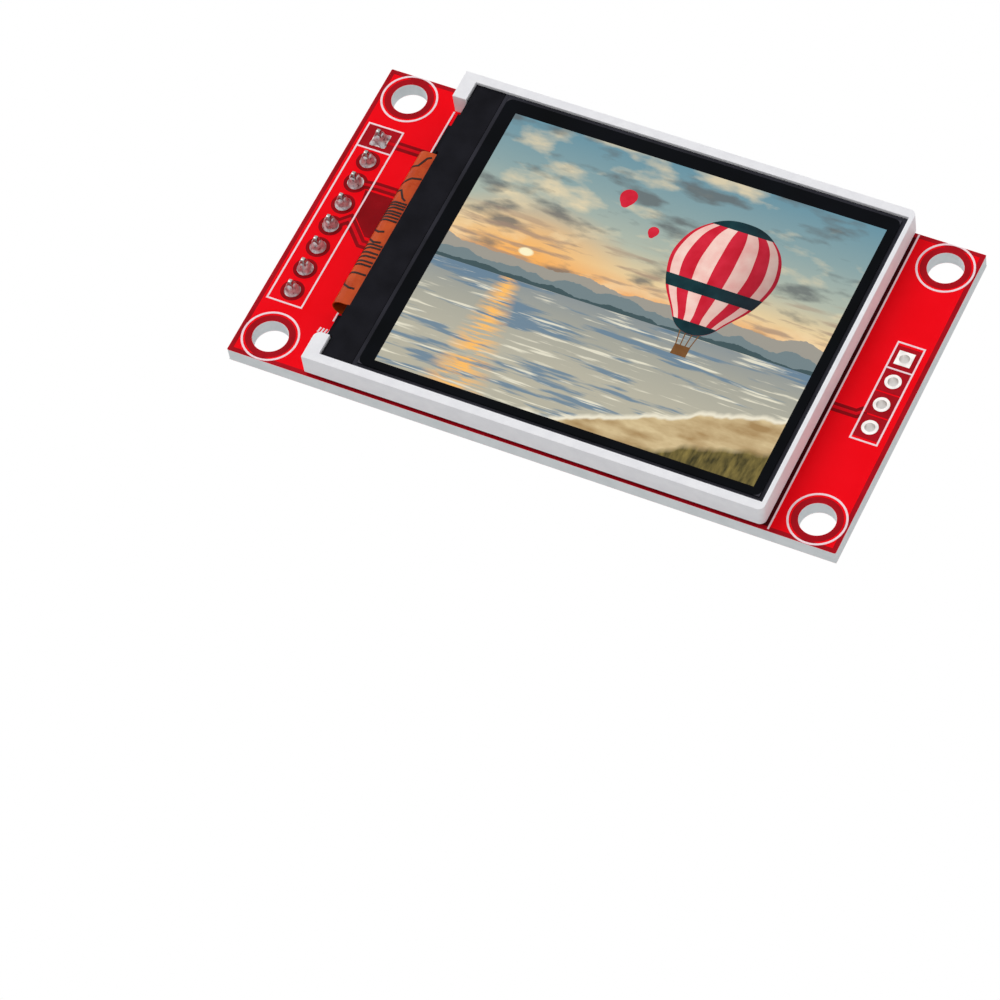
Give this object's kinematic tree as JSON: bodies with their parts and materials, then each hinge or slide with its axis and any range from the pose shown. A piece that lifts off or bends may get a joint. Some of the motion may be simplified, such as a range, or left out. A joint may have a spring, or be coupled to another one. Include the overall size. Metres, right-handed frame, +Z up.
{
  "type": "tft display module",
  "caption": "Small colour display module: a screen in a white frame on a red circuit board, with a pin header and a card socket behind.",
  "frame": {"origin": "centre of the four mounting holes, on the board's front face", "axes": "+X along the board away from the pin header, +Z up the screen towards the card socket's mouth, the screen faces -Y"},
  "size_m": [0.0582, 0.0124, 0.0338],
  "materials": {
    "tinned_copper": "tinned copper",
    "lamp": "white lamp with yellow window",
    "chip_brown": "brown ceramic",
    "socket_plastic": "grey moulded plastic",
    "contact_gold": "gilded springs",
    "shield_steel": "satin plated sheet",
    "solder": "bright solder",
    "board_red": "glossy red solder mask over glass-fibre board",
    "film_clear": "translucent film",
    "frame_white": "satin white moulding",
    "driver_silicon": "bare silicon",
    "display_glass": "dark display glass",
    "polariser": "glossy black polariser",
    "header_black": "moulded black plastic",
    "pin_metal": "plated pins",
    "ribbon_amber": "amber film cable",
    "tape_black": "black tape",
    "guide_clear": "clear moulded light guide",
    "reflector_white": "white reflector film",
    "chip_black": "moulded black",
    "tape_foam": "foam tape"
  },
  "bodies": {
    "root": {"back_lands": "tinned_copper", "backlight_lamp_1": "lamp", "backlight_lamp_2": "lamp", "backlight_lamp_3": "lamp", "backlight_lamp_4": "lamp", "capacitor": "chip_brown", "card_base": "socket_plastic", "card_contact_1": "contact_gold", "card_contact_2": "contact_gold", "card_contact_3": "contact_gold", "card_contact_4": "contact_gold", "card_contact_5": "contact_gold", "card_contact_6": "contact_gold", "card_contact_7": "contact_gold", "card_contact_8": "contact_gold", "card_contact_9": "contact_gold", "card_shield": "shield_steel", "chip_caps": "solder", "circuit_board": "board_red", "detect_spring": "contact_gold", "diffuser_sheet": "film_clear", "display_frame": "frame_white", "driver_chip": "driver_silicon", "front_glass": "display_glass", "front_polariser": "polariser", "header_barrels": "tinned_copper", "header_housing": "header_black", "header_pin_1": "pin_metal", "header_pin_2": "pin_metal", "header_pin_3": "pin_metal", "header_pin_4": "pin_metal", "header_pin_5": "pin_metal", "header_pin_6": "pin_metal", "header_pin_7": "pin_metal", "header_pin_8": "pin_metal", "header_solder": "solder", "lamp_strip": "ribbon_amber", "ledge_tape": "tape_black", "light_guide": "guide_clear", "prism_sheet": "film_clear", "protect_spring": "contact_gold", "rear_glass": "display_glass", "rear_polariser": "polariser", "reflector_sheet": "reflector_white", "regulator": "chip_black", "regulator_leads": "pin_metal", "resistor_1": "chip_black", "resistor_2": "chip_black", "resistor_3": "chip_black", "resistor_4": "chip_black", "ribbon_cable": "ribbon_amber", "ribbon_solder": "solder", "side_barrels": "tinned_copper", "tape_strip_high": "tape_foam", "tape_strip_low": "tape_foam"}
  },
  "joints": []
}
